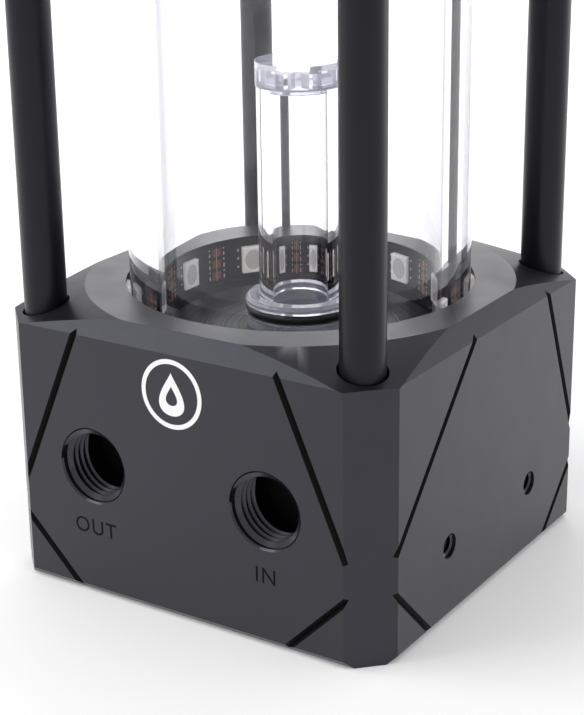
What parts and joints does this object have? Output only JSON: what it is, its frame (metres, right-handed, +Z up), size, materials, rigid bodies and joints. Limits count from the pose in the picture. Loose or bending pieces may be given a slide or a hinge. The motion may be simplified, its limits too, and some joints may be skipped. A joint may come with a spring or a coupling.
{
  "type": "coolant pump reservoir",
  "caption": "Square base block with a sealed coolant pump below a clear tank tube, side ports, light strip, tie rods and a top cap.",
  "frame": {"origin": "centre of the base block's foot, on the surface that it stands on", "axes": "+Z up along the tank tube, -Y out of the two threaded ports, +X out of the two mounting threads"},
  "size_m": [0.077, 0.077, 0.1878],
  "materials": {
    "anodised_block": "fine satin bead-blasted and grey-black anodised",
    "clear_glass": "polished clear borosilicate",
    "clear_plastic": "polished clear acrylic",
    "seal_rubber": "matte black seal rubber",
    "strip_film": "black solder mask film",
    "light_lens": "white package with a pale lens",
    "satin_black_sleeve": "satin black anodised",
    "steel": "turned stainless steel",
    "black_screw": "satin black",
    "housing_plastic": "moulded black",
    "can_plastic": "moulded natural",
    "ceramic_shaft": "ground white ceramic",
    "stator_iron": "stamped laminations",
    "copper_wire": "enamelled copper",
    "board_green": "green solder mask",
    "magnet": "sintered ferrite",
    "bush_carbon": "carbon graphite",
    "impeller_plastic": "moulded natural"
  },
  "bodies": {
    "reservoir": {"base_block": "anodised_block", "glass_tube": "clear_glass", "lower_tube_seal": "seal_rubber", "upper_tube_seal": "seal_rubber", "light_strip": "strip_film", "light_packages": "light_lens", "riser_tube": "clear_glass", "riser_foot": "clear_plastic", "riser_seal": "seal_rubber", "riser_cap": "clear_plastic", "front_left_sleeve": "satin_black_sleeve", "front_right_sleeve": "satin_black_sleeve", "rear_right_sleeve": "satin_black_sleeve", "rear_left_sleeve": "satin_black_sleeve", "tie_rods": "steel", "cap_nuts": "black_screw", "top_cap": "anodised_block", "motor_housing": "housing_plastic", "isolation_can": "can_plastic", "can_seal": "seal_rubber", "pump_shaft": "ceramic_shaft", "stator_core": "stator_iron", "stator_windings": "copper_wire", "driver_board": "board_green", "clamp_ring": "steel", "clamp_screws": "steel"},
    "rotor": {"rotor_magnet": "magnet", "rotor_bush": "bush_carbon", "impeller": "impeller_plastic"},
    "fill_seal": {"fill_plug_seal": "seal_rubber"},
    "fill_plug_body": {"fill_plug": "black_screw"},
    "spare_seal": {"spare_plug_seal": "seal_rubber"},
    "spare_plug_body": {"spare_plug": "black_screw"}
  },
  "joints": [
    {"name": "impeller_spin", "type": "hinge", "parent": "reservoir", "child": "rotor", "pos_m": [0, 0, 0.012], "axis": [0, 0, 1], "continuous": true},
    {"name": "fill_plug_lift", "type": "slide", "parent": "reservoir", "child": "fill_seal", "axis": [0, 0, 1], "range_m": [0, 0.0065]},
    {"name": "fill_plug_turn", "type": "hinge", "parent": "fill_seal", "child": "fill_plug_body", "pos_m": [-0.0135, 0, 0.1838], "axis": [0, 0, 1], "range_deg": [0, 1750]},
    {"name": "spare_plug_lift", "type": "slide", "parent": "reservoir", "child": "spare_seal", "axis": [0, 0, 1], "range_m": [0, 0.0065]},
    {"name": "spare_plug_turn", "type": "hinge", "parent": "spare_seal", "child": "spare_plug_body", "pos_m": [0.0135, 0, 0.1838], "axis": [0, 0, 1], "range_deg": [0, 1750]}
  ],
  "couplings": [
    {"joint": "fill_plug_lift", "follows": "fill_plug_turn", "m_per_rad": 0.00021279},
    {"joint": "spare_plug_lift", "follows": "spare_plug_turn", "m_per_rad": 0.00021279}
  ]
}
